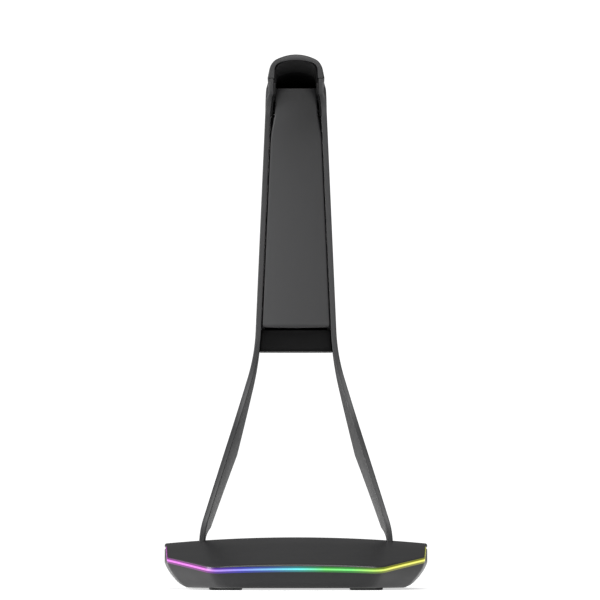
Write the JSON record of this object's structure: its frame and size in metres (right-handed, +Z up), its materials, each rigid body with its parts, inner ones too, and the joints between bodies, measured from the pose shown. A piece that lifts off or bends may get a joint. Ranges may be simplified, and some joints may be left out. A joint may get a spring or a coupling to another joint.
{
  "type": "headphone stand",
  "caption": "Tabletop headphone stand: wedge-shaped weighted base with a thin lit seam, two bent side rails rising into a tapered neck, and a padded arched hook.",
  "frame": {"origin": "on the table, under the middle of the whole stand's bounding box", "axes": "+Z up, -Y towards the front where the hook points and the light strip shows, +X to the right as seen from the front"},
  "size_m": [0.134, 0.1358, 0.2646],
  "materials": {
    "tray_abs": "moulded ABS, fine matt texture",
    "cover_abs": "satin sprayed ABS",
    "guide_acrylic": "frosted acrylic light guide",
    "strip_film": "white flexible circuit",
    "led_chip": "light-emitting chips",
    "wire_pvc": "PVC wire",
    "circuit_board": "glass epoxy with solder mask",
    "chip_resin": "moulded epoxy",
    "plated_steel": "nickel-plated steel",
    "tongue_plastic": "glass-filled plastic",
    "brass_pin": "turned pin",
    "button_abs": "moulded ABS",
    "ballast_steel": "zinc-plated steel plate",
    "foot_rubber": "self-adhesive rubber",
    "black_screw": "black zinc-plated steel",
    "zinc_screw": "zinc-plated steel",
    "socket_zinc": "die-cast zinc",
    "rail_powder": "powder-coated aluminium bar",
    "neck_black": "moulded ABS, matt black",
    "neck_satin": "moulded ABS, fine satin texture",
    "saddle_silicone": "silicone"
  },
  "bodies": {
    "stand": {"base_tray": "tray_abs", "base_cover": "cover_abs", "light_guide": "guide_acrylic", "led_strip": "strip_film", "led_chips": "led_chip", "led_cable": "wire_pvc", "control_board": "circuit_board", "board_chips": "chip_resin", "switch_body": "chip_resin", "usb_c_shell": "plated_steel", "usb_c_tongue": "tongue_plastic", "ballast_plate": "ballast_steel", "foot_front_left": "foot_rubber", "foot_front_right": "foot_rubber", "foot_rear_left": "foot_rubber", "foot_rear_right": "foot_rubber", "cover_screws": "black_screw", "leg_screws": "black_screw", "socket_screws": "black_screw", "ballast_screws": "zinc_screw", "board_screws": "zinc_screw", "rail_screws": "zinc_screw", "back_screws": "zinc_screw", "arch_screws": "zinc_screw", "leg_socket_left": "socket_zinc", "leg_socket_right": "socket_zinc", "side_rail_left": "rail_powder", "side_rail_right": "rail_powder", "neck_core": "neck_black", "neck_foot_cap": "neck_black", "hook_arch": "neck_black", "neck_panel": "neck_satin", "neck_back_cover": "neck_satin", "saddle_pad": "saddle_silicone"},
    "button": {"mode_button": "button_abs", "switch_plunger": "brass_pin"}
  },
  "joints": [
    {"name": "mode_button_press", "type": "slide", "parent": "stand", "child": "button", "axis": [0, -1, 0], "range_m": [0, 0.0005], "stiffness_N_per_m": 400, "springref_m": -0.0005}
  ]
}
